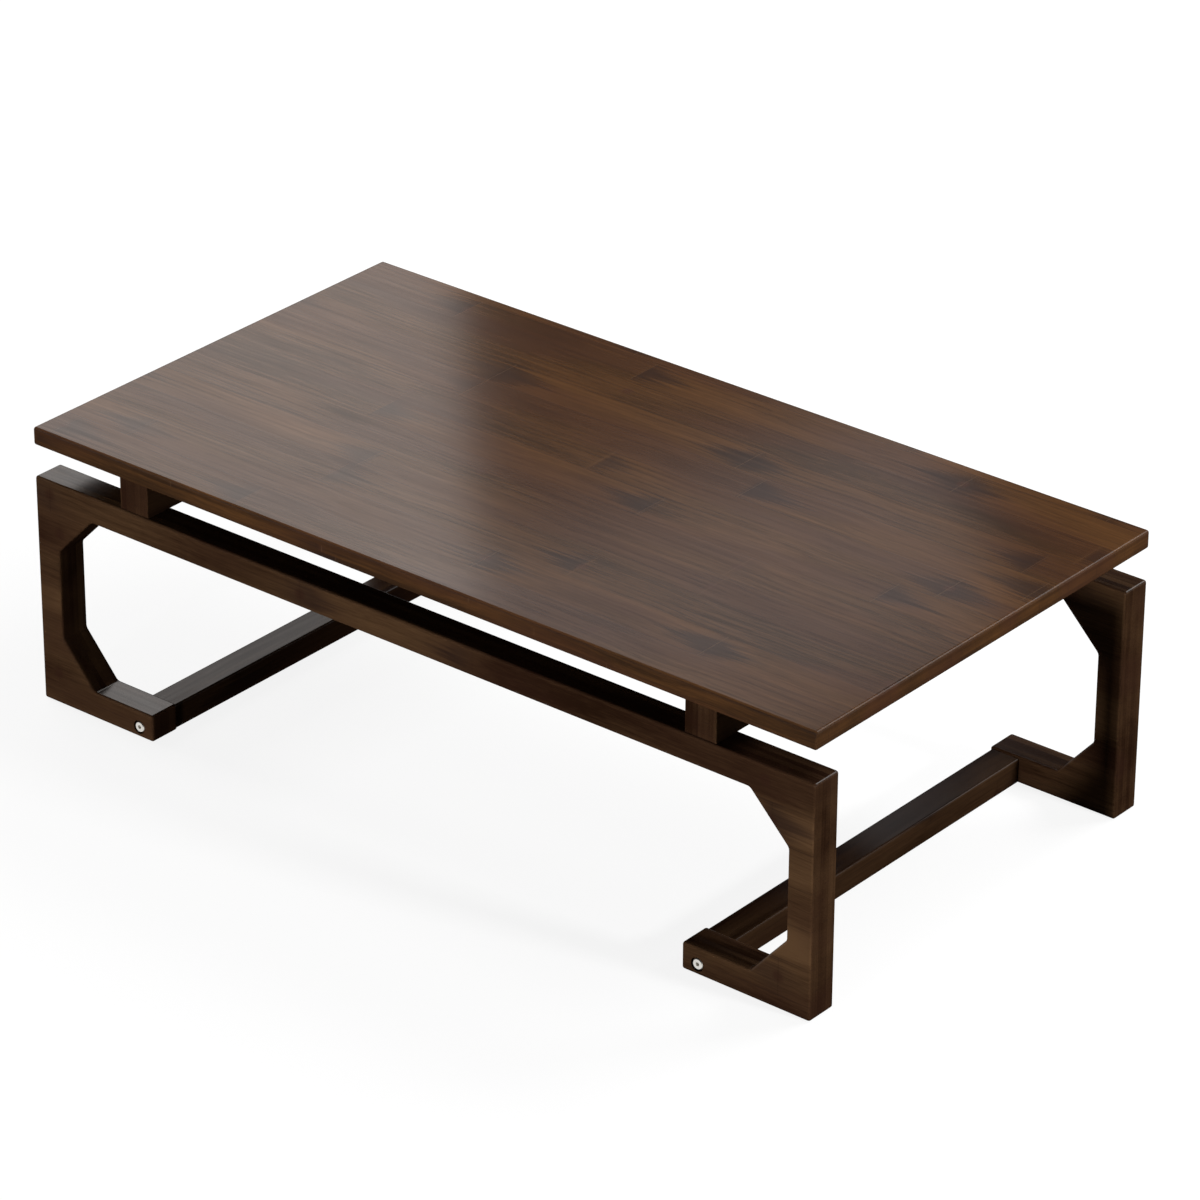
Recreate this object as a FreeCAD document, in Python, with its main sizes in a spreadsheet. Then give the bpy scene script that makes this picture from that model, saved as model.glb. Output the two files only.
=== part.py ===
import FreeCAD, Part
import os
import Sketcher

# A low table: a flat top on two cross battens, over two side frames of C-shaped legs and long rails,
# with two low stretchers bolted between the feet. Millimetres, +Z up, the front is at -Y and the
# origin lies on the floor under the middle of the top.

doc = FreeCAD.newDocument("low_table")
size = doc.addObject("Spreadsheet::Sheet", "size")

driving_dimensions = (
    ("table_length", 1000, "length of the top and of both side frames, along X"),
    ("table_width", 536, "depth of the top, and over the outer faces of the side frames, along Y"),
    ("top_thickness", 20, "thickness of the top panel"),
    ("top_edge_round", 3, "rounding of the top panel's edges"),
    ("frame_height", 256, "height of a side frame, floor to rail top"),
    ("frame_thickness", 37, "thickness of the board that legs and rails are cut from"),
    ("frame_edge_round", 3, "rounding of the edges of legs and rails"),
    ("rail_height", 30, "height of a rail and of a leg's upper arm"),
    ("leg_width", 30, "width of a leg's post, along X"),
    ("foot_height", 30, "height of a leg's foot"),
    ("foot_reach", 82, "length of a foot past its sloped corner"),
    ("arm_reach", 24, "length of a leg's upper arm past its sloped corner"),
    ("upper_slope_run", 47, "run of the sloped corner under the arm, along X"),
    ("upper_slope_rise", 48, "rise of the sloped corner under the arm"),
    ("lower_slope_run", 42, "run of the sloped corner over the foot, along X"),
    ("lower_slope_rise", 48, "rise of the sloped corner over the foot"),
    ("slope_round", 7, "rounding where a sloped corner meets post, foot or arm"),
    ("tenon_length", 36, "length of the tenon on each rail end"),
    ("tenon_height", 18, "height of that tenon"),
    ("tenon_thickness", 15, "thickness of that tenon"),
    ("tenon_clearance", 0.2, "glue gap round a tenon and past its end"),
    ("batten_width", 37.5, "width of a cross batten, along X"),
    ("batten_height", 35, "height of a cross batten, which is the slit under the top"),
    ("batten_offset", 36, "from a rail's shoulder to the middle of the batten on it"),
    ("batten_setback", 2, "batten end behind the frame's outer face"),
    ("batten_edge_round", 1.5, "rounding of a batten's end edges"),
    ("stretcher_width", 34.5, "width of a stretcher, along X"),
    ("stretcher_height", 27.5, "height of a stretcher"),
    ("stretcher_lift", 0.5, "stretcher's underside over the floor"),
    ("stretcher_setback", 1.75, "stretcher's inner side behind the end of the foot"),
    ("stretcher_edge_round", 2.5, "rounding of a stretcher's long edges"),
    ("bolt_diameter", 6, "shank of the connector bolts"),
    ("bolt_head_diameter", 12, "head of the connector bolts"),
    ("bolt_head_height", 4, "height of that head"),
    ("bolt_head_bevel", 0.8, "bevel round the outer edge of that head"),
    ("bolt_socket_width", 4, "width over the flats of the socket in that head"),
    ("bolt_socket_depth", 2.5, "depth of that socket"),
    ("bolt_clearance", 0.3, "gap round a bolt's shank"),
    ("head_recess_clearance", 1.5, "gap round a bolt's head in its recess"),
    ("head_recess_sink", 0.5, "bolt's head below the face of its recess"),
    ("stretcher_bolt_length", 65, "shank of the bolts through the feet"),
    ("stretcher_bolt_height", 11.5, "axis of those bolts over the floor"),
    ("batten_bolt_length", 45, "shank of the bolts up through the rails"),
    ("drill_overrun", 3, "blind holes past the end of what they hold"),
    ("barrel_nut_diameter", 10, "barrel nut across a stretcher bolt"),
    ("barrel_nut_length", 16, "length of that nut"),
    ("barrel_nut_bevel", 0.6, "bevel round both ends of that nut"),
    ("barrel_nut_depth", 24, "axis of that nut behind the stretcher's end"),
    ("barrel_nut_slot_width", 1.4, "screwdriver slot in the lower end of that nut"),
    ("barrel_nut_slot_depth", 1.5, "depth of that slot"),
    ("insert_nut_diameter", 10, "sleeve nut let into a batten"),
    ("insert_nut_length", 14, "length of that sleeve"),
    ("nut_clearance", 0.2, "gap round a barrel nut or a sleeve nut"),
    ("dowel_diameter", 6, "locating dowel beside a stretcher bolt"),
    ("dowel_depth", 12, "that dowel's length in the foot and in the stretcher"),
    ("dowel_bevel", 0.8, "bevel round both ends of that dowel"),
    ("dowel_offset", 11, "from a stretcher bolt's axis to its dowel"),
    ("dowel_clearance", 0.15, "gap round a dowel and past its ends"),
    ("screw_diameter", 4, "shank of the screws that hold the top"),
    ("screw_length", 38, "length of those screws under the head"),
    ("screw_point_length", 6, "tapered point of those screws"),
    ("screw_head_diameter", 8, "head of those screws"),
    ("screw_head_height", 3, "height of that head"),
    ("screw_head_bevel", 0.9, "bevel round the outer edge of that head"),
    ("screw_cross_width", 1.2, "arms of the cross recess in that head"),
    ("screw_cross_span", 5, "span of that cross recess"),
    ("screw_cross_depth", 1.6, "depth of that cross recess"),
    ("screw_recess_depth", 10, "depth of a screw's recess in the batten's underside"),
    ("screw_recess_clearance", 0.75, "gap round a screw's head in its recess"),
    ("screw_clearance", 0.2, "gap round a screw's shank"),
    ("screw_spacing", 160, "between the screws along a batten"),
)
for row, (alias, millimetres, meaning) in enumerate(driving_dimensions, start=1):
    size.set("A%d" % row, meaning)
    size.set("B%d" % row, str(millimetres))
    size.setAlias("B%d" % row, alias)
doc.recompute()

# Sizes and places that follow from the driving dimensions
ARM_UNDERSIDE = "(size.frame_height - size.rail_height)"
UPPER_SLOPE_END = "(size.leg_width + size.upper_slope_run)"
UPPER_SLOPE_FOOT = "(size.frame_height - size.rail_height - size.upper_slope_rise)"
LOWER_SLOPE_END = "(size.leg_width + size.lower_slope_run)"
LOWER_SLOPE_TOP = "(size.foot_height + size.lower_slope_rise)"
ARM_LENGTH = "(size.leg_width + size.upper_slope_run + size.arm_reach)"
FOOT_LENGTH = "(size.leg_width + size.lower_slope_run + size.foot_reach)"
RAIL_LENGTH = "(size.table_length - 2 * %s)" % ARM_LENGTH
TOP_UNDERSIDE = "(size.frame_height + size.batten_height)"
BATTEN_INSET = "(%s + size.batten_offset)" % ARM_LENGTH
BATTEN_LENGTH = "(size.table_width - 2 * size.batten_setback)"
STRETCHER_INSET = "(%s - size.stretcher_setback - size.stretcher_width / 2)" % FOOT_LENGTH
STRETCHER_LENGTH = "(size.table_width - 2 * size.frame_thickness)"
FRAME_MIDDLE = "(size.table_width / 2 - size.frame_thickness / 2)"
HEAD_RECESS_DIAMETER = "(size.bolt_head_diameter + 2 * size.head_recess_clearance)"
HEAD_RECESS_DEPTH = "(size.bolt_head_height + size.head_recess_sink)"
BOLT_HOLE = "(size.bolt_diameter + 2 * size.bolt_clearance)"
BARREL_NUT_HOLE = "(size.barrel_nut_diameter + 2 * size.nut_clearance)"
INSERT_NUT_HOLE = "(size.insert_nut_diameter + 2 * size.nut_clearance)"
DOWEL_HOLE = "(size.dowel_diameter + 2 * size.dowel_clearance)"
DOWEL_HOLE_DEPTH = "(size.dowel_depth + size.dowel_clearance)"
DOWEL_INSET = "(%s - size.dowel_offset)" % STRETCHER_INSET
SCREW_HOLE = "(size.screw_diameter + 2 * size.screw_clearance)"
SCREW_RECESS = "(size.screw_head_diameter + 2 * size.screw_recess_clearance)"
SCREW_IN_TOP = "(size.screw_length + size.screw_recess_depth - size.batten_height)"
BOLT_IN_STRETCHER = "(size.stretcher_bolt_length + %s - size.frame_thickness)" % HEAD_RECESS_DEPTH
BOLT_IN_BATTEN = "(size.batten_bolt_length + %s - size.rail_height)" % HEAD_RECESS_DEPTH

SIDES = (("left", -1), ("right", 1))
FRONTS = (("front", -1), ("rear", 1))
SCREW_STEPS = (-1, 0, 1)
SAME_PLACE = 1e-4


def number(expression):
    """The present value of an expression on the driving dimensions."""
    return float(size.evalExpression(expression))


def bind(target, **expressions):
    """Tie properties of a document object to expressions."""
    for name, expression in expressions.items():
        target.setExpression(name, expression)


def place(target, across, along, up, axis=FreeCAD.Vector(0, 0, 1), degrees=0):
    """Turn a sub-part about an axis through its origin and tie that origin to a place in the part."""
    target.Placement = FreeCAD.Placement(FreeCAD.Vector(), FreeCAD.Rotation(axis, degrees))
    target.setExpression("Placement.Base.x", across)
    target.setExpression("Placement.Base.y", along)
    target.setExpression("Placement.Base.z", up)


def new_body(label):
    body = doc.addObject("PartDesign::Body", label)
    body.Label = label
    return body


def new_sketch(body, name, role, offset="0"):
    """A sketch on one of the body's own origin planes, moved by offset along the plane's normal."""
    plane = [feature for feature in body.Origin.OriginFeatures if feature.Role == role][0]
    sketch = body.newObject("Sketcher::SketchObject", name)
    sketch.AttachmentSupport = [(plane, "")]
    sketch.MapMode = "FlatFace"
    sketch.setExpression("AttachmentOffset.Base.z", offset)
    return sketch


def fix_point(sketch, line, end, across, up):
    """Hold one point of a sketch at its distances from the sketch's origin."""
    for kind, level, expression in (("DistanceX", "Vertical", across), ("DistanceY", "Horizontal", up)):
        if expression == "0":
            sketch.addConstraint(Sketcher.Constraint(level, -1, 1, line, end))
            continue
        rule = Sketcher.Constraint(kind, -1, 1, line, end, number(expression))
        sketch.setExpression("Constraints[%d]" % sketch.addConstraint(rule), expression)


def draw_outline(sketch, corners):
    """A closed outline of straight lines through corners, each a pair of expressions."""
    points = [FreeCAD.Vector(number(across), number(up), 0) for across, up in corners]
    first = sketch.GeometryCount
    for point, following in zip(points, points[1:] + points[:1]):
        sketch.addGeometry(Part.LineSegment(point, following), False)
    for step, (across, up) in enumerate(corners):
        before = first + (step - 1) % len(corners)
        sketch.addConstraint(Sketcher.Constraint("Coincident", before, 2, first + step, 1))
        fix_point(sketch, first + step, 1, across, up)


def draw_rectangle(sketch, left, bottom, right, top):
    draw_outline(sketch, ((left, bottom), (right, bottom), (right, top), (left, top)))


def draw_circle(sketch, across, up, diameter):
    middle = FreeCAD.Vector(number(across), number(up), 0)
    ring = sketch.addGeometry(Part.Circle(middle, FreeCAD.Vector(0, 0, 1), number(diameter) / 2), False)
    fix_point(sketch, ring, 3, across, up)
    rule = Sketcher.Constraint("Diameter", ring, number(diameter))
    sketch.setExpression("Constraints[%d]" % sketch.addConstraint(rule), diameter)


def pad(body, name, sketch, length, backwards=False):
    feature = body.newObject("PartDesign::Pad", name)
    feature.Profile = sketch
    feature.Reversed = backwards
    bind(feature, Length=length)
    doc.recompute()


def pocket(body, name, sketch, depth, backwards=False):
    """Cut a sketch into the body to a depth, and make sure that it did cut."""
    volume = body.Shape.Volume
    feature = body.newObject("PartDesign::Pocket", name)
    feature.Profile = sketch
    feature.Reversed = backwards
    bind(feature, Length=depth)
    doc.recompute()
    if body.Shape.Volume > volume - SAME_PLACE:
        raise RuntimeError("%s cuts nothing from %s" % (name, body.Label))


def round_edges(body, name, radius, chosen):
    """Round the body's present edges that a test chooses."""
    base = body.Tip
    edges = ["Edge%d" % (index + 1) for index, edge in enumerate(base.Shape.Edges) if chosen(edge)]
    feature = body.newObject("PartDesign::Fillet", name)
    feature.Base = (base, edges)
    bind(feature, Radius=radius)
    doc.recompute()


def runs_along(edge, axis):
    """True for a straight edge along the axis: 0 is X, 1 is Y and 2 is Z."""
    if not isinstance(edge.Curve, Part.Line):
        return False
    return abs(abs(edge.Curve.Direction[axis]) - 1) < SAME_PLACE


def lies_at(edge, axis, expression):
    """True where the whole edge has the given coordinate along the axis."""
    level = number(expression)
    return all(abs(vertex.Point[axis] - level) < SAME_PLACE for vertex in edge.Vertexes)


# Tabletop: one edge-glued panel with rounded edges and pilot holes for the screws below it
def make_tabletop():
    body = new_body("tabletop")
    panel = new_sketch(body, "tabletop_panel", "XY_Plane")
    draw_rectangle(panel, "0", "0", "size.table_length", "size.table_width")
    pad(body, "tabletop_board", panel, "size.top_thickness")
    round_edges(body, "tabletop_soft_edges", "size.top_edge_round", lambda edge: True)
    pilots = new_sketch(body, "tabletop_pilots", "XY_Plane")
    for inset in (BATTEN_INSET, "(size.table_length - %s)" % BATTEN_INSET):
        for step in SCREW_STEPS:
            draw_circle(pilots, inset, "(size.table_width / 2 + %d * size.screw_spacing)" % step, SCREW_HOLE)
    pocket(body, "tabletop_pilot_holes", pilots, "(%s + size.drill_overrun)" % SCREW_IN_TOP, backwards=True)
    place(body, "-size.table_length / 2", "-size.table_width / 2", TOP_UNDERSIDE)
    return body


# Cross batten: stands on both rails and carries the top, drilled from below for its screws and nuts
def make_batten(side, sign):
    label = "%s_batten" % side
    body = new_body(label)
    section = new_sketch(body, label + "_plan", "XY_Plane")
    draw_rectangle(section, "0", "0", "size.batten_width", BATTEN_LENGTH)
    pad(body, label + "_bar", section, "size.batten_height")
    round_edges(body, label + "_end_edges", "size.batten_edge_round",
                lambda edge: runs_along(edge, 2) or (runs_along(edge, 0) and lies_at(edge, 2, "0")))
    middle = "(size.batten_width / 2)"
    screw_places = ["(%s / 2 + %d * size.screw_spacing)" % (BATTEN_LENGTH, step) for step in SCREW_STEPS]
    screw_holes = new_sketch(body, label + "_screw_sketch", "XY_Plane")
    for along in screw_places:
        draw_circle(screw_holes, middle, along, SCREW_HOLE)
    pocket(body, label + "_screw_holes", screw_holes, "size.batten_height", backwards=True)
    recesses = new_sketch(body, label + "_recess_sketch", "XY_Plane")
    for along in screw_places:
        draw_circle(recesses, middle, along, SCREW_RECESS)
    pocket(body, label + "_screw_recesses", recesses, "size.screw_recess_depth", backwards=True)
    nut_holes = new_sketch(body, label + "_nut_sketch", "XY_Plane")
    for _, front_sign in FRONTS:
        along = "(%s / 2 + %d * %s)" % (BATTEN_LENGTH, front_sign, FRAME_MIDDLE)
        draw_circle(nut_holes, middle, along, INSERT_NUT_HOLE)
    nut_hole_depth = "(%s + size.drill_overrun)" % BOLT_IN_BATTEN
    pocket(body, label + "_nut_holes", nut_holes, nut_hole_depth, backwards=True)
    across = "%d * (size.table_length / 2 - %s) - size.batten_width / 2" % (sign, BATTEN_INSET)
    place(body, across, "-%s / 2" % BATTEN_LENGTH, "size.frame_height")
    return body


# Rail: the long top of a side frame, with a tenon on each end and bolt holes up into the battens
def make_rail(front, sign):
    label = "%s_rail" % front
    body = new_body(label)
    face = new_sketch(body, label + "_face", "XZ_Plane")
    draw_rectangle(face, "0", "0", RAIL_LENGTH, "size.rail_height")
    pad(body, label + "_bar", face, "size.frame_thickness", backwards=True)
    round_edges(body, label + "_long_edges", "size.frame_edge_round", lambda edge: runs_along(edge, 0))
    tenon = new_sketch(body, label + "_tenon_sketch", "YZ_Plane", "-size.tenon_length")
    draw_rectangle(tenon,
                   "(size.frame_thickness / 2 - size.tenon_thickness / 2)",
                   "(size.rail_height / 2 - size.tenon_height / 2)",
                   "(size.frame_thickness / 2 + size.tenon_thickness / 2)",
                   "(size.rail_height / 2 + size.tenon_height / 2)")
    pad(body, label + "_tenons", tenon, "(%s + 2 * size.tenon_length)" % RAIL_LENGTH)
    bolt_places = ("size.batten_offset", "(%s - size.batten_offset)" % RAIL_LENGTH)
    for name, diameter, depth in (("bolt", BOLT_HOLE, "size.rail_height"),
                                  ("head", HEAD_RECESS_DIAMETER, HEAD_RECESS_DEPTH)):
        holes = new_sketch(body, "%s_%s_sketch" % (label, name), "XY_Plane")
        for across in bolt_places:
            draw_circle(holes, across, "(size.frame_thickness / 2)", diameter)
        pocket(body, "%s_%s_holes" % (label, name), holes, depth, backwards=True)
    along = "%d * %s - size.frame_thickness / 2" % (sign, FRAME_MIDDLE)
    place(body, "-%s / 2" % RAIL_LENGTH, along, ARM_UNDERSIDE)
    return body


# Leg: a C cut from thick laminated board, with foot, post, arm and sloped inner corners. It is drawn
# with its end face at x = 0 and turned half round for the right end, so the face with the bolt's
# recess is at y = 0 on two of the legs and on the far side on the other two.
def make_leg(front, front_sign, side, side_sign):
    label = "%s_%s_leg" % (front, side)
    body = new_body(label)
    slope_corners = (
        (LOWER_SLOPE_END, "size.foot_height"),
        ("size.leg_width", LOWER_SLOPE_TOP),
        ("size.leg_width", UPPER_SLOPE_FOOT),
        (UPPER_SLOPE_END, ARM_UNDERSIDE),
    )
    outer_corners = (
        ("0", "0"),
        (FOOT_LENGTH, "0"),
        (FOOT_LENGTH, "size.foot_height"),
        ("0", "size.frame_height"),
    )
    arm_end = ((ARM_LENGTH, ARM_UNDERSIDE), (ARM_LENGTH, "size.frame_height"))
    outline = new_sketch(body, label + "_outline", "XZ_Plane")
    draw_outline(outline, outer_corners[:3] + slope_corners + arm_end + outer_corners[3:])
    pad(body, label + "_board", outline, "size.frame_thickness", backwards=True)

    def stands_at(edge, corners):
        return runs_along(edge, 1) and any(
            lies_at(edge, 0, across) and lies_at(edge, 2, up) for across, up in corners)

    def is_outer_edge(edge):
        if stands_at(edge, outer_corners):
            return True
        on_a_face = lies_at(edge, 1, "0") or lies_at(edge, 1, "size.frame_thickness")
        return on_a_face and not lies_at(edge, 0, ARM_LENGTH)

    round_edges(body, label + "_slope_rounds", "size.slope_round",
                lambda edge: stands_at(edge, slope_corners))
    round_edges(body, label + "_outer_edges", "size.frame_edge_round", is_outer_edge)

    mortise = new_sketch(body, label + "_mortise_sketch", "YZ_Plane", ARM_LENGTH)
    half_thickness = "(size.tenon_thickness / 2 + size.tenon_clearance)"
    half_height = "(size.tenon_height / 2 + size.tenon_clearance)"
    arm_middle = "(size.frame_height - size.rail_height / 2)"
    draw_rectangle(mortise,
                   "(size.frame_thickness / 2 - %s)" % half_thickness,
                   "(%s - %s)" % (arm_middle, half_height),
                   "(size.frame_thickness / 2 + %s)" % half_thickness,
                   "(%s + %s)" % (arm_middle, half_height))
    pocket(body, label + "_mortise", mortise, "(size.tenon_length + size.tenon_clearance)")

    recess_at_zero = front_sign == side_sign
    recess_plane = "0" if recess_at_zero else "-size.frame_thickness"
    dowel_plane = "-size.frame_thickness" if recess_at_zero else "0"
    recess_turn = not recess_at_zero
    for name, plane, inset, diameter, depth, backwards in (
            ("bolt", recess_plane, STRETCHER_INSET, BOLT_HOLE, "size.frame_thickness", recess_turn),
            ("head", recess_plane, STRETCHER_INSET, HEAD_RECESS_DIAMETER, HEAD_RECESS_DEPTH, recess_turn),
            ("dowel", dowel_plane, DOWEL_INSET, DOWEL_HOLE, DOWEL_HOLE_DEPTH, recess_at_zero)):
        hole = new_sketch(body, "%s_%s_sketch" % (label, name), "XZ_Plane", plane)
        draw_circle(hole, inset, "size.stretcher_bolt_height", diameter)
        pocket(body, "%s_%s_hole" % (label, name), hole, depth, backwards)

    turn = 0 if side_sign < 0 else 180
    along = "%d * %s + %d * size.frame_thickness / 2" % (front_sign, FRAME_MIDDLE, side_sign)
    place(body, "%d * size.table_length / 2" % side_sign, along, "0", degrees=turn)
    return body


# Stretcher: butts between a front and a rear foot, with bolt, nut and dowel holes in both ends
def make_stretcher(side, sign):
    label = "%s_stretcher" % side
    body = new_body(label)
    plan = new_sketch(body, label + "_plan", "XY_Plane")
    draw_rectangle(plan, "0", "0", "size.stretcher_width", STRETCHER_LENGTH)
    pad(body, label + "_bar", plan, "size.stretcher_height")
    round_edges(body, label + "_long_edges", "size.stretcher_edge_round", lambda edge: runs_along(edge, 1))
    middle = "(size.stretcher_width / 2)"
    bolt_level = "(size.stretcher_bolt_height - size.stretcher_lift)"
    dowel_across = "(size.stretcher_width / 2 + %d * size.dowel_offset)" % sign
    for end, plane, backwards in (("front", "0", False), ("rear", "-" + STRETCHER_LENGTH, True)):
        for name, across, diameter, depth in (
                ("bolt", middle, BOLT_HOLE, "(%s + size.drill_overrun)" % BOLT_IN_STRETCHER),
                ("dowel", dowel_across, DOWEL_HOLE, DOWEL_HOLE_DEPTH)):
            hole = new_sketch(body, "%s_%s_%s_sketch" % (label, end, name), "XZ_Plane", plane)
            draw_circle(hole, across, bolt_level, diameter)
            pocket(body, "%s_%s_%s_hole" % (label, end, name), hole, depth, backwards)
    nut_holes = new_sketch(body, label + "_nut_sketch", "XY_Plane")
    for along in ("size.barrel_nut_depth", "(%s - size.barrel_nut_depth)" % STRETCHER_LENGTH):
        draw_circle(nut_holes, middle, along, BARREL_NUT_HOLE)
    nut_hole_depth = "(%s + size.barrel_nut_length / 2 + size.nut_clearance)" % bolt_level
    pocket(body, label + "_nut_holes", nut_holes, nut_hole_depth, backwards=True)
    across = "%d * (size.table_length / 2 - %s) - size.stretcher_width / 2" % (sign, STRETCHER_INSET)
    place(body, across, "-%s / 2" % STRETCHER_LENGTH, "size.stretcher_lift")
    return body


def cylinder(name, diameter, height, up="0"):
    """A round bar along Z, standing on the level up."""
    bar = doc.addObject("Part::Cylinder", name)
    bind(bar, Radius="%s / 2" % diameter, Height=height)
    place(bar, "0", "0", up)
    return bar


def cone(name, lower_diameter, upper_diameter, height, up="0"):
    """A round taper along Z, standing on the level up."""
    taper = doc.addObject("Part::Cone", name)
    bind(taper, Radius1="%s / 2" % lower_diameter, Radius2="%s / 2" % upper_diameter, Height=height)
    place(taper, "0", "0", up)
    return taper


def block(name, length, width, height, up):
    """A block centred over the Z axis, standing on the level up."""
    bar = doc.addObject("Part::Box", name)
    bind(bar, Length=length, Width=width, Height=height)
    place(bar, "-%s / 2" % length, "-%s / 2" % width, up)
    return bar


def fuse(name, base, tool):
    result = doc.addObject("Part::Fuse", name)
    result.Base = base
    result.Tool = tool
    return result


def cut(name, base, tool):
    result = doc.addObject("Part::Cut", name)
    result.Base = base
    result.Tool = tool
    return result


def bevelled_bar(name, diameter, height, bevel, up="0", both_ends=False):
    """A round bar along Z with a bevel round its lower end, or round both ends."""
    narrow = "(%s - 2 * %s)" % (diameter, bevel)
    straight = "(%s - %d * %s)" % (height, 2 if both_ends else 1, bevel)
    body = cylinder(name + "_body", diameter, straight, "%s + %s" % (up, bevel))
    bar = fuse(name + "_lower_end", body, cone(name + "_lower_bevel", narrow, diameter, bevel, up))
    if both_ends:
        upper = cone(name + "_upper_bevel", diameter, narrow, bevel, "%s + %s - %s" % (up, height, bevel))
        bar = fuse(name + "_both_ends", bar, upper)
    return bar


def group(label, pieces):
    """One node that holds several like fasteners as separate solids."""
    result = doc.addObject("Part::Compound", label)
    result.Label = label
    result.Links = pieces
    return result


# Connector bolt: a round bevelled head with a six-sided socket, its seat at z = 0 and its shank along +Z
def make_bolt(name, length):
    head = bevelled_bar(name + "_head", "size.bolt_head_diameter", "size.bolt_head_height",
                        "size.bolt_head_bevel", "-size.bolt_head_height")
    shank = cylinder(name + "_shank", "size.bolt_diameter", length)
    socket = doc.addObject("Part::Prism", name + "_socket")
    socket.Polygon = 6
    bind(socket, Circumradius="size.bolt_socket_width / (2 * cos(30 deg))", Height="size.bolt_socket_depth")
    place(socket, "0", "0", "-size.bolt_head_height")
    return cut(name, fuse(name + "_blank", head, shank), socket)


# Barrel nut: a short upright bar with a cross hole for the bolt and a slot in its lower end
def make_barrel_nut(name):
    half = "size.barrel_nut_length / 2"
    bar = bevelled_bar(name + "_bar", "size.barrel_nut_diameter", "size.barrel_nut_length",
                       "size.barrel_nut_bevel", "-" + half, both_ends=True)
    hole = doc.addObject("Part::Cylinder", name + "_hole")
    bind(hole, Radius="%s / 2" % BOLT_HOLE, Height="size.barrel_nut_diameter")
    place(hole, "0", "size.barrel_nut_diameter / 2", "0", FreeCAD.Vector(1, 0, 0), 90)
    slot = block(name + "_slot", "size.barrel_nut_diameter", "size.barrel_nut_slot_width",
                 "size.barrel_nut_slot_depth", "-" + half)
    return cut(name, cut(name + "_drilled", bar, hole), slot)


# Insert nut: a threaded sleeve let into the batten's underside
def make_insert_nut(name):
    sleeve = cylinder(name + "_sleeve", "size.insert_nut_diameter", "size.insert_nut_length")
    bore = cylinder(name + "_bore", BOLT_HOLE, "size.insert_nut_length")
    return cut(name, sleeve, bore)


# Top screw: a round bevelled head with a cross recess, its seat at z = 0 and its point along +Z
def make_screw(name):
    head = bevelled_bar(name + "_head", "size.screw_head_diameter", "size.screw_head_height",
                        "size.screw_head_bevel", "-size.screw_head_height")
    straight = "(size.screw_length - size.screw_point_length)"
    shank = cylinder(name + "_shank", "size.screw_diameter", straight)
    point = cone(name + "_point", "size.screw_diameter", "0", "size.screw_point_length", straight)
    blank = fuse(name + "_blank", fuse(name + "_pin", shank, point), head)
    arm_across = block(name + "_recess_across", "size.screw_cross_span", "size.screw_cross_width",
                       "size.screw_cross_depth", "-size.screw_head_height")
    arm_along = block(name + "_recess_along", "size.screw_cross_width", "size.screw_cross_span",
                      "size.screw_cross_depth", "-size.screw_head_height")
    return cut(name, blank, fuse(name + "_recess", arm_across, arm_along))


# The fasteners of one stretcher: bolts in through the feet, their nuts, and the dowels beside them
def make_stretcher_fasteners(side, sign):
    across = "%d * (size.table_length / 2 - %s)" % (sign, STRETCHER_INSET)
    dowel_across = "%d * (size.table_length / 2 - %s)" % (sign, DOWEL_INSET)
    bolts, nuts, dowels = [], [], []
    for front, front_sign in FRONTS:
        corner = "%s_%s" % (front, side)
        bolt = make_bolt(corner + "_stretcher_bolt", "size.stretcher_bolt_length")
        seat = "%d * (size.table_width / 2 - %s)" % (front_sign, HEAD_RECESS_DEPTH)
        place(bolt, across, seat, "size.stretcher_bolt_height", FreeCAD.Vector(1, 0, 0), 90 * front_sign)
        bolts.append(bolt)
        nut = make_barrel_nut(corner + "_barrel_nut")
        nut_along = "%d * (%s / 2 - size.barrel_nut_depth)" % (front_sign, STRETCHER_LENGTH)
        place(nut, across, nut_along, "size.stretcher_bolt_height")
        nuts.append(nut)
        dowel = bevelled_bar(corner + "_stretcher_dowel", "size.dowel_diameter", "2 * size.dowel_depth",
                             "size.dowel_bevel", both_ends=True)
        dowel_along = "%d * (%s / 2 + size.dowel_depth)" % (front_sign, STRETCHER_LENGTH)
        place(dowel, dowel_across, dowel_along, "size.stretcher_bolt_height",
              FreeCAD.Vector(1, 0, 0), 90 * front_sign)
        dowels.append(dowel)
    return [group("%s_stretcher_bolts" % side, bolts),
            group("%s_barrel_nuts" % side, nuts),
            group("%s_stretcher_dowels" % side, dowels)]


# The fasteners of one batten: bolts up through the rails into sleeve nuts, and screws into the top
def make_batten_fasteners(side, sign):
    across = "%d * (size.table_length / 2 - %s)" % (sign, BATTEN_INSET)
    bolts, nuts, screws = [], [], []
    for front, front_sign in FRONTS:
        corner = "%s_%s" % (front, side)
        along = "%d * %s" % (front_sign, FRAME_MIDDLE)
        bolt = make_bolt(corner + "_batten_bolt", "size.batten_bolt_length")
        place(bolt, across, along, "%s + %s" % (ARM_UNDERSIDE, HEAD_RECESS_DEPTH))
        bolts.append(bolt)
        nut = make_insert_nut(corner + "_insert_nut")
        place(nut, across, along, "size.frame_height")
        nuts.append(nut)
    for step in SCREW_STEPS:
        screw = make_screw("%s_top_screw_%d" % (side, step + 2))
        place(screw, across, "%d * size.screw_spacing" % step, "size.frame_height + size.screw_recess_depth")
        screws.append(screw)
    return [group("%s_batten_bolts" % side, bolts),
            group("%s_insert_nuts" % side, nuts),
            group("%s_top_screws" % side, screws)]


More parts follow.
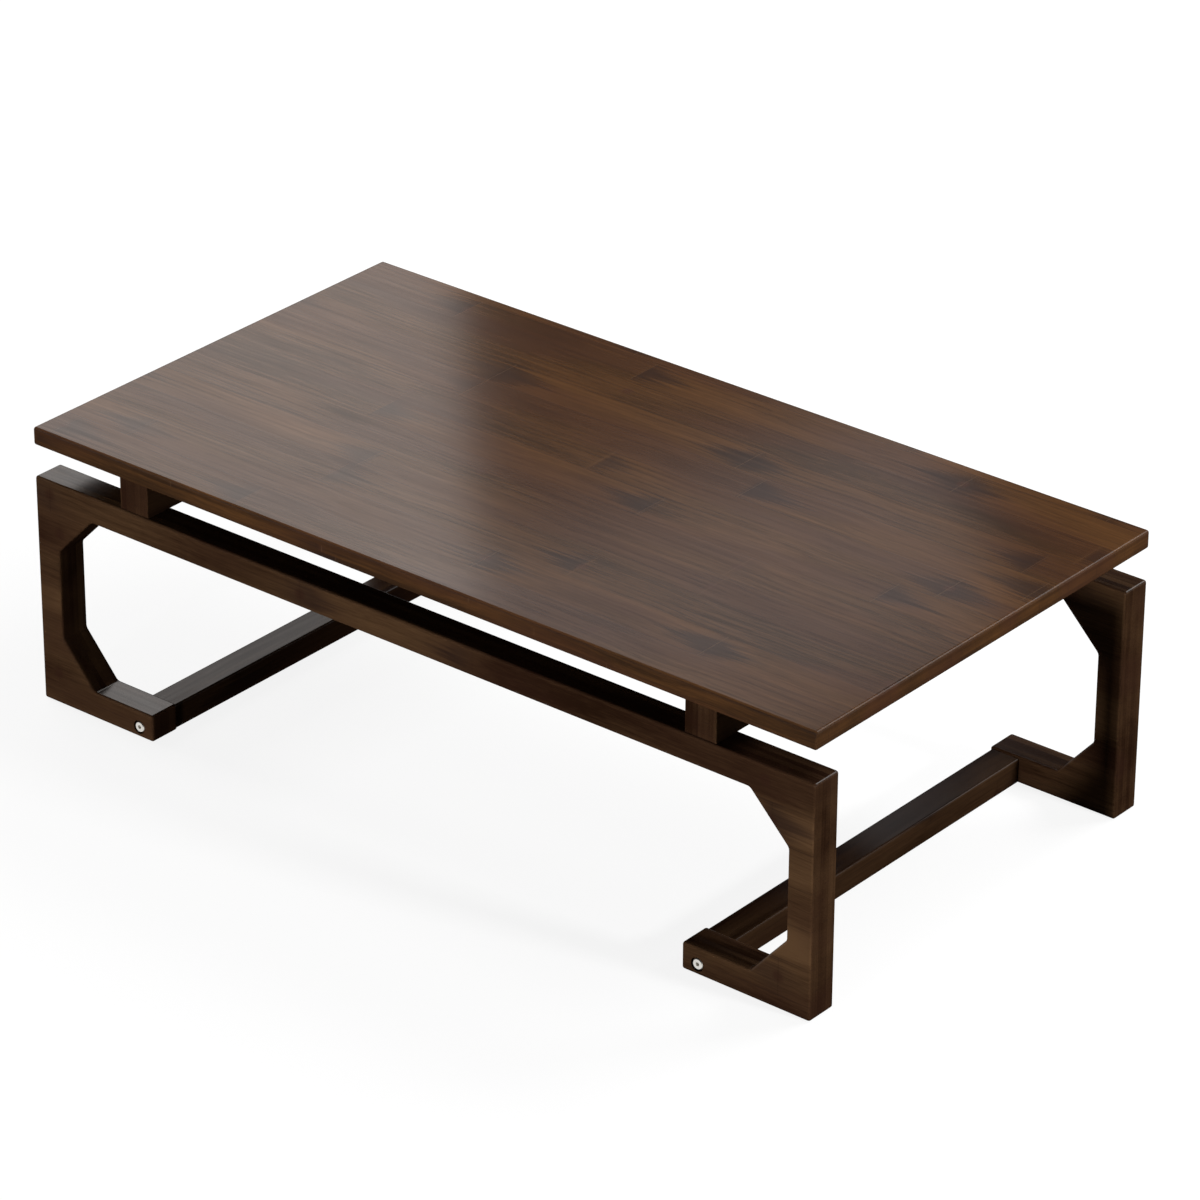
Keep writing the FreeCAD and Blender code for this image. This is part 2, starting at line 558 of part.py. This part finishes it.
# Put the table together
sub_parts = [make_tabletop()]
for side, side_sign in SIDES:
    sub_parts.append(make_batten(side, side_sign))
    sub_parts.append(make_stretcher(side, side_sign))
    sub_parts += make_stretcher_fasteners(side, side_sign)
    sub_parts += make_batten_fasteners(side, side_sign)
for front, front_sign in FRONTS:
    sub_parts.append(make_rail(front, front_sign))
    for side, side_sign in SIDES:
        sub_parts.append(make_leg(front, front_sign, side, side_sign))
doc.recompute()

# Every object has to be sound before anything is written
for item in doc.Objects:
    if "Invalid" in item.State or "Error" in item.State:
        raise RuntimeError("%s failed: %s" % (item.Label, item.State))
for sub_part in sub_parts:
    if sub_part.Shape.isNull() or not sub_part.Shape.isValid() or not sub_part.Shape.Solids:
        raise RuntimeError("%s has no sound solid" % sub_part.Label)

os.makedirs("parts", exist_ok=True)
for sub_part in sub_parts:
    sub_part.Shape.exportStep("parts/%s.step" % sub_part.Label)
    print(sub_part.Label, len(sub_part.Shape.Solids), round(sub_part.Shape.Volume, 1))
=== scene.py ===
import bpy
import math
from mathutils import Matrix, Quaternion, Vector

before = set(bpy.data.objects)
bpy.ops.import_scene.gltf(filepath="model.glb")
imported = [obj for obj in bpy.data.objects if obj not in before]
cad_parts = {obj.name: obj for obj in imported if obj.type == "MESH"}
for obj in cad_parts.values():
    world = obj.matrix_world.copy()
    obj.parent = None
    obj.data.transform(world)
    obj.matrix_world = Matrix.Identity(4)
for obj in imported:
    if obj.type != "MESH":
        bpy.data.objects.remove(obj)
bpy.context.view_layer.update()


# Side frames: two long rails, each with a C-shaped leg tenoned and glued to both ends. All six pieces are
# sawn from thick boards of pressed bamboo, whose strips run along the table, stained walnut brown and
# finished with satin lacquer. Legs and rails share one grain, so no seam shows where they meet.
def new_material(name):
    """A new material with its node tree and its main shader."""
    material = bpy.data.materials.new(name)
    material.use_nodes = True
    tree = material.node_tree
    return material, tree, tree.nodes["Principled BSDF"]


def wire(tree, value, socket):
    """Give a socket a plain value, or join another node's output to it."""
    if isinstance(value, bpy.types.NodeSocket):
        tree.links.new(value, socket)
    else:
        socket.default_value = value


def reckon(tree, operation, *values):
    """The result of one sum on plain values and other nodes' outputs."""
    node = tree.nodes.new("ShaderNodeMath")
    node.operation = operation
    for value, socket in zip(values, node.inputs):
        wire(tree, value, socket)
    return node.outputs["Value"]


def swing(tree, noise, amount, middle):
    """The middle value, raised or lowered by up to half the amount as the noise goes from 0 to 1."""
    return reckon(tree, "MULTIPLY_ADD", reckon(tree, "SUBTRACT", noise, 0.5), amount, middle)


def read_axes(tree, source):
    """X, Y and Z of the point on the piece in metres ("Object"), or of the way that it faces ("Normal")."""
    coordinate = tree.nodes.new("ShaderNodeTexCoord")
    parts = tree.nodes.new("ShaderNodeSeparateXYZ")
    tree.links.new(coordinate.outputs[source], parts.inputs["Vector"])
    return {axis: parts.outputs[axis] for axis in "XYZ"}


def point(tree, first, second, third):
    """Three numbers joined into one point."""
    node = tree.nodes.new("ShaderNodeCombineXYZ")
    for value, socket in zip((first, second, third), node.inputs):
        wire(tree, value, socket)
    return node.outputs["Vector"]


def chance(tree, first, second, third):
    """A number from 0 to 1 that is the same wherever the three numbers are the same."""
    node = tree.nodes.new("ShaderNodeTexWhiteNoise")
    node.noise_dimensions = "3D"
    tree.links.new(point(tree, first, second, third), node.inputs["Vector"])
    return node.outputs["Value"]


def mottle(tree, spot, scales, detail, roughness=0.55):
    """Soft noise from 0 to 1, stretched by a scale of its own along each of the three ways of the wood."""
    stretched = [reckon(tree, "MULTIPLY", way, scale) for way, scale in zip(spot, scales)]
    node = tree.nodes.new("ShaderNodeTexNoise")
    node.inputs["Scale"].default_value = 1.0
    node.inputs["Detail"].default_value = detail
    node.inputs["Roughness"].default_value = roughness
    tree.links.new(point(tree, *stretched), node.inputs["Vector"])
    return node.outputs["Fac"]


def fade(tree, value, start, end):
    """1 at start and on the side away from end, changing softly to 0 at end and past it."""
    node = tree.nodes.new("ShaderNodeMapRange")
    node.interpolation_type = "SMOOTHSTEP"
    wire(tree, value, node.inputs["Value"])
    wire(tree, start, node.inputs["From Min"])
    wire(tree, end, node.inputs["From Max"])
    node.inputs["To Min"].default_value = 1.0
    node.inputs["To Max"].default_value = 0.0
    return node.outputs["Result"]


def pick(tree, amount, first, second):
    """The first number where the amount is 0 and the second where it is 1."""
    node = tree.nodes.new("ShaderNodeMix")
    wire(tree, amount, node.inputs["Factor"])
    wire(tree, first, node.inputs[2])
    wire(tree, second, node.inputs[3])
    return node.outputs[0]


def stain(tree, amount, under, over):
    """One colour laid over another by an amount from 0 to 1."""
    node = tree.nodes.new("ShaderNodeMix")
    node.data_type = "RGBA"
    wire(tree, amount, node.inputs["Factor"])
    wire(tree, under, node.inputs[6])
    wire(tree, over, node.inputs[7])
    return node.outputs[2]


def emboss(tree, shader, height, strength, distance):
    """Raise and sink a surface by a height pattern."""
    bump = tree.nodes.new("ShaderNodeBump")
    bump.inputs["Strength"].default_value = strength
    bump.inputs["Distance"].default_value = distance
    tree.links.new(height, bump.inputs["Height"])
    tree.links.new(bump.outputs["Normal"], shader.inputs["Normal"])


def find_strip(tree, side, deep, mirrored, strip_width, strip_shift, layer_depth, layer_start, luck):
    """The number of the strip at a point, a seed for the draws of its layer, the distance from the strip's
    middle in strip widths, and the luck of the layer. Mirrored boards count their layers away from the
    table's middle on both sides."""
    shift_per_layer = 0.37
    seed_per_layer = 31.0
    depth = reckon(tree, "ABSOLUTE", deep) if mirrored else deep
    layer_place = reckon(tree, "DIVIDE", reckon(tree, "SUBTRACT", depth, layer_start), layer_depth)
    layer = reckon(tree, "FLOOR", layer_place)
    board = reckon(tree, "SIGN", deep)
    strip_start = reckon(tree, "MULTIPLY_ADD", layer, shift_per_layer, strip_shift)
    strip_place = reckon(tree, "ADD", reckon(tree, "DIVIDE", side, strip_width), strip_start)
    strip = reckon(tree, "FLOOR", strip_place)
    seed = reckon(tree, "ADD", reckon(tree, "MULTIPLY_ADD", layer, seed_per_layer, board), luck)
    from_middle = reckon(tree, "SUBTRACT", reckon(tree, "FRACT", strip_place), 0.5)
    off_middle = reckon(tree, "ABSOLUTE", from_middle)
    return strip, seed, off_middle, chance(tree, layer, board, luck)


def find_ring(tree, grain, strip, seed, ring_spacing, strip_blend):
    """The distance in metres to a strip's ring, the ring's place in its stretch of the strip, the luck of
    the length of cane at the point, and the cane's tone, which blends from one length to the next."""
    start_draw = 5.0
    start_range = 8.0
    shift_range = 0.5
    least_shift = 0.25
    cane_seed = reckon(tree, "ADD", seed, 0.5)
    ring_start = reckon(tree, "MULTIPLY", chance(tree, strip, seed, start_draw), start_range)
    ring_place = reckon(tree, "ADD", reckon(tree, "DIVIDE", grain, ring_spacing), ring_start)
    ring = reckon(tree, "FLOOR", ring_place)
    ring_shift = reckon(tree, "MULTIPLY_ADD", chance(tree, ring, strip, seed), shift_range, least_shift)
    past_ring = reckon(tree, "SUBTRACT", reckon(tree, "FRACT", ring_place), ring_shift)
    ring_distance = reckon(tree, "MULTIPLY", reckon(tree, "ABSOLUTE", past_ring), ring_spacing)
    cane = reckon(tree, "ADD", ring, reckon(tree, "GREATER_THAN", past_ring, 0.0))
    cane_luck = chance(tree, cane, strip, cane_seed)
    tone_before = chance(tree, ring, strip, cane_seed)
    tone_after = chance(tree, reckon(tree, "ADD", ring, 1.0), strip, cane_seed)
    cane_tone = pick(tree, fade(tree, past_ring, strip_blend, -strip_blend), tone_before, tone_after)
    return ring_distance, ring_shift, cane_luck, cane_tone


def turned_edge(tree, facing):
    """1 where the surface turns over a rounded edge, and 0 on the faces that meet there."""
    return reckon(tree, "MULTIPLY", fade(tree, facing, 0.90, 0.97), fade(tree, facing, 0.35, 0.15))


def stained_bamboo(name, along, across, through, strip_width, strip_shift, layer_depth, layer_start,
                   ring_spacing, luck, tones, strip_change, gloss, edge_gloss, end_gloss=0.0,
                   gloss_roughness=0.2, strip_blend=0.13, figure=0.7, mirrored=True):
    """Pressed bamboo: strips glued edge to edge and in layers, each with rings about a foot apart, dark
    blotches by the rings, fine fibres along the grain and hairlines where strips meet."""
    sway_width = 0.012
    least_blotch = 0.036
    blotch_growth = 0.05
    blotch_taper = 1.4
    blotch_fringe = 1.1
    bud_core = 0.003
    bud_rim = 0.009
    line_core = 0.0012
    line_rim = 0.0026
    line_waver = 0.003
    seam_width = 0.0007
    dull_roughness = 0.58
    roughness_change = 0.15
    material, tree, lacquer = new_material(name)
    place = read_axes(tree, "Object")
    facing = read_axes(tree, "Normal")
    grain = place[along]
    side = place[across]
    deep = place[through]
    strip, seed, off_middle, layer_luck = find_strip(
        tree, side, deep, mirrored, strip_width, strip_shift, layer_depth, layer_start, luck)
    ring_distance, ring_shift, cane_luck, cane_tone = find_ring(
        tree, grain, strip, seed, ring_spacing, strip_blend)
    sawn_end = fade(tree, reckon(tree, "ABSOLUTE", facing[along]), 0.85, 0.6)
    broad_face = reckon(tree, "ABSOLUTE", facing[through])

    # Noise of the wood: broad clouds and ruddy areas, streaks and fine fibres that sway along the grain
    spot = (grain, side, deep)
    sway = reckon(tree, "MULTIPLY", mottle(tree, spot, (6.0, 5.0, 5.0), 1.0), sway_width)
    swayed = (grain, reckon(tree, "ADD", side, sway), reckon(tree, "ADD", deep, sway))
    cloud = mottle(tree, spot, (5.0, 18.0, 18.0), 2.0)
    ruddy = fade(tree, mottle(tree, spot, (3.5, 16.0, 16.0), 1.0), 0.60, 0.42)
    fibre = mottle(tree, swayed, (55.0, 1500.0, 1500.0), 2.0)
    long_streak = mottle(tree, swayed, (6.0, 240.0, 240.0), 3.0, 0.6)
    end_streak = swing(tree, mottle(tree, spot, (7.0, 9.0, 420.0), 3.0, 0.6), 0.5, 0.5)
    streak = pick(tree, sawn_end, long_streak, end_streak)

    # Marks of the canes: blotches, buds and lines at the rings, and the glue line between strips
    blotch_reach = reckon(tree, "MULTIPLY_ADD", cane_tone, blotch_growth, least_blotch)
    blotch_edge = reckon(tree, "DIVIDE", ring_distance, blotch_reach)
    blotch_edge = reckon(tree, "MULTIPLY_ADD", off_middle, blotch_taper, blotch_edge)
    blotch_edge = swing(tree, streak, blotch_fringe, blotch_edge)
    blotch = reckon(tree, "MULTIPLY", fade(tree, blotch_edge, 0.25, 1.05), fade(tree, cane_tone, 0.75, 0.3))
    blotch = pick(tree, sawn_end, blotch, 0.0)
    bud_side = reckon(tree, "MULTIPLY", off_middle, strip_width)
    bud_square = reckon(tree, "MULTIPLY_ADD", bud_side, bud_side, reckon(tree, "POWER", ring_distance, 2.0))
    bud = fade(tree, reckon(tree, "SQRT", bud_square), bud_core, bud_rim)
    bud = reckon(tree, "MULTIPLY", bud, reckon(tree, "GREATER_THAN", ring_shift, 0.52))
    ring_line = reckon(tree, "MULTIPLY_ADD", fibre, line_waver, ring_distance)
    ring_line = fade(tree, ring_line, line_core, line_rim)
    ring_line = reckon(tree, "MULTIPLY", ring_line, reckon(tree, "GREATER_THAN", cane_luck, 0.35))
    seam = fade(tree, reckon(tree, "SUBTRACT", 0.5, off_middle), 0.0, seam_width / strip_width)

    # Colour: a tone between dark and light from all that changes it, and then the marks over it
    cane_change = fade(tree, off_middle, 0.5 - strip_blend * 2.0, 0.5)
    cane_change = pick(tree, sawn_end, reckon(tree, "MULTIPLY", cane_change, strip_change), 0.0)
    tone = 0.5
    for noise, change in ((cane_tone, cane_change), (layer_luck, 0.3), (cloud, 0.9), (streak, figure),
                          (fibre, 0.7)):
        tone = swing(tree, noise, change, tone)
    tone = reckon(tree, "MULTIPLY_ADD", fade(tree, broad_face, 0.4, 0.8), -0.25, tone)
    tone = reckon(tree, "MINIMUM", reckon(tree, "MAXIMUM", tone, 0.0), 1.0)
    colour = stain(tree, tone, tones["dark"], tones["light"])
    for mark, strength, mark_tone in ((ruddy, 0.4, "red"), (blotch, 0.65, "blotch"), (bud, 0.6, "red"),
                                      (ring_line, 0.3, "ring"), (seam, 0.35, "blotch")):
        colour = stain(tree, reckon(tree, "MULTIPLY", mark, strength), colour, tones[mark_tone])
    tree.links.new(colour, lacquer.inputs["Base Color"])

    # Lacquer: dull on the sides, with a clear coat on what faces up and along the rounded upper edges
    tree.links.new(swing(tree, streak, roughness_change, dull_roughness), lacquer.inputs["Roughness"])
    lacquer.inputs["Specular IOR Level"].default_value = 0.0
    relief = reckon(tree, "MULTIPLY_ADD", streak, 0.5, reckon(tree, "MULTIPLY", fibre, 0.4))
    relief = reckon(tree, "SUBTRACT", relief, reckon(tree, "MULTIPLY_ADD", seam, 0.5, ring_line))
    emboss(tree, lacquer, relief, strength=0.04, distance=0.0002)
    upward = reckon(tree, "MULTIPLY", fade(tree, facing["Z"], 0.99, 0.92), gloss)
    upward = reckon(tree, "MULTIPLY", upward, reckon(tree, "MULTIPLY_ADD", streak, 0.6, 0.7))
    outward = reckon(tree, "MULTIPLY", facing[along], reckon(tree, "SIGN", grain))
    long_edge = reckon(tree, "MULTIPLY", turned_edge(tree, broad_face), edge_gloss)
    end_edge = reckon(tree, "MULTIPLY", turned_edge(tree, outward), end_gloss)
    edge = reckon(tree, "MAXIMUM", long_edge, end_edge)
    edge = reckon(tree, "MULTIPLY", edge, fade(tree, facing["Z"], 0.3, 0.1))
    tree.links.new(reckon(tree, "MAXIMUM", upward, edge), lacquer.inputs["Coat Weight"])
    lacquer.inputs["Coat Roughness"].default_value = gloss_roughness
    return material


def finish_nodes(material, *names):
    """Put one material on CAD nodes, in place of the plain one that they came with."""
    for name in names:
        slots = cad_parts[name].data.materials
        slots.clear()
        slots.append(material)


frame_tones = {
    "dark": (0.016, 0.0068, 0.0034, 1.0),
    "light": (0.092, 0.0490, 0.0235, 1.0),
    "red": (0.030, 0.0125, 0.0078, 1.0),
    "blotch": (0.016, 0.0088, 0.0078, 1.0),
    "ring": (0.014, 0.0070, 0.0038, 1.0),
}
frame_bamboo = stained_bamboo(
    "walnut stained frame bamboo", along="X", across="Z", through="Y",
    strip_width=0.041, strip_shift=0.772, layer_depth=0.0065, layer_start=0.2305, ring_spacing=0.31,
    luck=3956990.0, tones=frame_tones, strip_change=0.8, gloss=1.0, edge_gloss=0.2, end_gloss=0.9)
finish_nodes(frame_bamboo, "front_rail", "rear_rail", "front_left_leg", "front_right_leg",
             "rear_left_leg", "rear_right_leg")


# Cross bars: the two low stretchers between the feet and the two battens that carry the top. They are
# bamboo bars with their grain from front to rear, planed, eased along the edges and bolted to the side
# frames. The battens have the frames' stain. The stretchers have the same stain at about half its
# brightness, which is painted shade for the shadow that they lie in under the table.
def cross_bar_bamboo(name, tones, gloss, edge_gloss):
    """The bamboo of a bar whose grain runs from front to rear."""
    return stained_bamboo(
        name, along="Y", across="Z", through="X",
        strip_width=0.033, strip_shift=0.2, layer_depth=0.0062, layer_start=0.3420, ring_spacing=0.28,
        luck=9.0, tones=tones, strip_change=0.3, gloss=gloss, edge_gloss=edge_gloss)


batten_bamboo = cross_bar_bamboo("walnut stained batten bamboo", frame_tones, gloss=0.3, edge_gloss=0.25)
finish_nodes(batten_bamboo, "left_batten", "right_batten")
# Painted shade: the stretchers take the frames' tones at about half their brightness, for the shadow that
# they lie in.
stretcher_shade_share = (0.50, 0.48, 0.48, 1.0)
shaded_stretcher_tones = {}
for tone_name, frame_tone in frame_tones.items():
    shaded_stretcher_tones[tone_name] = tuple(part * share for part, share in zip(frame_tone, stretcher_shade_share))
shaded_stretcher_bamboo = cross_bar_bamboo(
    "walnut stained stretcher bamboo, painted shade", shaded_stretcher_tones, gloss=0.6, edge_gloss=0.35)
finish_nodes(shaded_stretcher_bamboo, "left_stretcher", "right_stretcher")


# Bolts, nuts and screws: steel, turned and nickel plated. The bolts through the feet show their heads,
# the others sit in holes and recesses in the undersides of rails, battens and stretchers.
def nickel_plate(name):
    """Nickel plate with a faint haze and fine scuffs."""
    dull_nickel = (0.62, 0.59, 0.54, 1.0)
    bright_nickel = (0.88, 0.86, 0.81, 1.0)
    least_roughness = 0.22
    scuff_roughness = 0.2
    material, tree, plate = new_material(name)
    spot = tuple(read_axes(tree, "Object").values())
    scuff = mottle(tree, spot, (900.0, 900.0, 900.0), 3.0)
    haze = mottle(tree, spot, (160.0, 160.0, 160.0), 2.0)
    tree.links.new(stain(tree, haze, dull_nickel, bright_nickel), plate.inputs["Base Color"])
    scuffed = reckon(tree, "MULTIPLY_ADD", scuff, scuff_roughness, least_roughness)
    tree.links.new(scuffed, plate.inputs["Roughness"])
    emboss(tree, plate, scuff, strength=0.1, distance=0.0001)
    plate.inputs["Metallic"].default_value = 1.0
    return material


bolt_plate = nickel_plate("nickel plated steel")
for side in ("left", "right"):
    finish_nodes(bolt_plate, side + "_stretcher_bolts", side + "_barrel_nuts", side + "_batten_bolts",
                 side + "_insert_nuts", side + "_top_screws")


# Dowels: short turned pegs of plain beech beside the bolts, which keep a stretcher from turning. They are
# hidden in foot and stretcher.
def plain_beech(name):
    """Bare beech with fine flecks along the peg."""
    brown_beech = (0.46, 0.29, 0.16, 1.0)
    pale_beech = (0.66, 0.47, 0.29, 1.0)
    material, tree, wood = new_material(name)
    place = read_axes(tree, "Object")
    spot = (place["Y"], place["X"], place["Z"])
    fleck = mottle(tree, spot, (120.0, 1600.0, 1600.0), 3.0)
    tree.links.new(stain(tree, fleck, brown_beech, pale_beech), wood.inputs["Base Color"])
    wood.inputs["Roughness"].default_value = 0.6
    return material


beech = plain_beech("plain beech")
finish_nodes(beech, "left_stretcher_dowels", "right_stretcher_dowels")


# Tabletop: one panel of broad bamboo strips, glued edge to edge in three layers, rounded along all edges
# and held by screws up through the battens. It has a walnut stain as the frames have, and a smoother
# lacquer.
top_tones = {
    "dark": (0.036, 0.0178, 0.0088, 1.0),
    "light": (0.122, 0.0530, 0.0185, 1.0),
    "red": (0.062, 0.0255, 0.0150, 1.0),
    "blotch": (0.020, 0.0120, 0.0105, 1.0),
    "ring": (0.150, 0.0840, 0.0450, 1.0),
}
top_bamboo = stained_bamboo(
    "walnut stained top bamboo", along="X", across="Y", through="Z", mirrored=False,
    strip_width=0.0475, strip_shift=-0.108, layer_depth=0.0070, layer_start=0.2905, ring_spacing=0.34,
    luck=182947.0, tones=top_tones, strip_change=0.3, strip_blend=0.02, figure=1.3,
    gloss=0.85, edge_gloss=0.5, end_gloss=0.5, gloss_roughness=0.15)
finish_nodes(top_bamboo, "tabletop")


# Floor: a wide flat sheet of pale paper under the table. It looks white to the camera and in mirrors, and
# keeps the table's soft shadow.
def pale_paper(name):
    """Grey paper that the lamps light, with a glow of its own that is seen but lights nothing."""
    grey_paper = (0.16, 0.16, 0.16, 1.0)
    glow_strength = 0.86
    material, tree, plain_shader = new_material(name)
    tree.nodes.remove(plain_shader)
    path = tree.nodes.new("ShaderNodeLightPath")
    seen = reckon(tree, "MAXIMUM", path.outputs["Is Camera Ray"], path.outputs["Is Glossy Ray"])
    seen = reckon(tree, "MAXIMUM", seen, path.outputs["Is Transmission Ray"])
    paper = tree.nodes.new("ShaderNodeBsdfDiffuse")
    paper.inputs["Color"].default_value = grey_paper
    glow = tree.nodes.new("ShaderNodeEmission")
    tree.links.new(reckon(tree, "MULTIPLY", seen, glow_strength), glow.inputs["Strength"])
    both = tree.nodes.new("ShaderNodeAddShader")
    tree.links.new(paper.outputs["BSDF"], both.inputs[0])
    tree.links.new(glow.outputs["Emission"], both.inputs[1])
    tree.links.new(both.outputs["Shader"], tree.nodes["Material Output"].inputs["Surface"])
    return material


floor_size = 40.0
bpy.ops.object.select_all(action="DESELECT")
bpy.ops.mesh.primitive_plane_add(size=floor_size, location=(0.0, 0.0, 0.0))
floor = bpy.context.object
floor.name = "floor"
floor.data.materials.append(pale_paper("pale paper"))


# Studio light: boxes in front, at both sides, above and behind only light the table. The lacquer mirrors
# the rear card, the two glare boxes behind on the left, which make the shine on the top, and a ring of dim
# sheen cards that leaves out the glare boxes' side. A dim even room fills the rest.
def soft_box(name, place, aim, width, height, watts, mirrored=False, colour=(1.0, 1.0, 1.0), roll=0.0):
    """A flat lamp that the camera doesn't see, and that gloss shows only if it is mirrored."""
    light = bpy.data.lights.new(name, "AREA")
    light.color = colour
    light.shape = "RECTANGLE"
    light.size = width
    light.size_y = height
    light.energy = watts
    lamp = bpy.data.objects.new(name, light)
    lamp.location = place
    turn = (Vector(aim) - Vector(place)).to_track_quat("-Z", "Y") @ Quaternion((0.0, 0.0, 1.0), roll)
    lamp.rotation_euler = turn.to_euler()
    lamp.visible_camera = False
    lamp.visible_glossy = mirrored
    bpy.context.scene.collection.objects.link(lamp)


middle = (0.0, 0.0, 0.15)
top_middle = (0.0, 0.0, 0.3)
warm = (1.0, 0.95, 0.92)
cool = (0.93, 0.96, 1.0)
soft_box("front box", (0.46, -6.0, 0.42), aim=(0.1, 0.0, 0.15), width=0.4, height=0.4, watts=272.0)
soft_box("right box", (5.6, 0.6, 2.30), aim=middle, width=0.6, height=0.6, watts=265.0)
soft_box("left box", (-6.5, 0.0, 1.3), aim=middle, width=1.8, height=1.4, watts=270.0)
soft_box("top box", (-2.6, 0.4, 3.7), aim=top_middle, width=2.0, height=2.0, watts=45.0)
soft_box("rear box", (1.4, 3.1, 3.1), aim=middle, width=2.4, height=1.8, watts=125.0)
soft_box("rear card", (1.4, 3.2, 3.2), aim=middle, width=2.4, height=1.8, watts=40.0, mirrored=True)
soft_box("left glare box", (-1.98, 1.36, 1.42), aim=(-0.39, -0.13, 0.3), width=1.0, height=1.1, watts=5.2,
         mirrored=True, colour=warm)
soft_box("right glare box", (-1.387, 1.934, 1.734), aim=(-0.08, -0.05, 0.3), width=0.9, height=0.42,
         watts=0.9, mirrored=True, colour=cool, roll=math.radians(24.0))
card_distance = 4.0
card_height = 1.5
for bearing in (0, 45, 90, 135, 180, 270, 315):
    turn = math.radians(bearing)
    stand = (card_distance * math.sin(turn), -card_distance * math.cos(turn), card_height)
    soft_box(f"sheen card {bearing}", stand, aim=top_middle, width=1.2, height=1.6, watts=1.6,
             mirrored=True)

room = bpy.data.worlds.new("dim room")
room.use_nodes = True
room.node_tree.nodes["Background"].inputs["Color"].default_value = (1.0, 1.0, 1.0, 1.0)
room.node_tree.nodes["Background"].inputs["Strength"].default_value = 0.02
bpy.context.scene.world = room


# Camera: it stands where the photograph was taken from, to the right of the front and above, far off with
# a long lens. Its place, lens and roll were fitted to the table's edges in the photograph.
photo_azimuth = math.radians(39.2905)
photo_elevation = math.radians(27.5613)
photo_roll = math.radians(0.2849)
photo_distance = 5.8154
aim_point = Vector((-0.01398, 0.04654, 0.150))
sight = Vector((-math.sin(photo_azimuth) * math.cos(photo_elevation),
                math.cos(photo_azimuth) * math.cos(photo_elevation),
                -math.sin(photo_elevation)))
lens = bpy.data.cameras.new("photo camera")
lens.sensor_width = 36.0
lens.lens = 171.83
camera = bpy.data.objects.new("photo camera", lens)
camera.location = aim_point - sight * photo_distance
camera.rotation_mode = "QUATERNION"
camera.rotation_quaternion = sight.to_track_quat("-Z", "Y") @ Quaternion((0.0, 0.0, 1.0), photo_roll)
bpy.context.scene.collection.objects.link(camera)
bpy.context.scene.camera = camera
bpy.context.scene.view_settings.view_transform = "Standard"
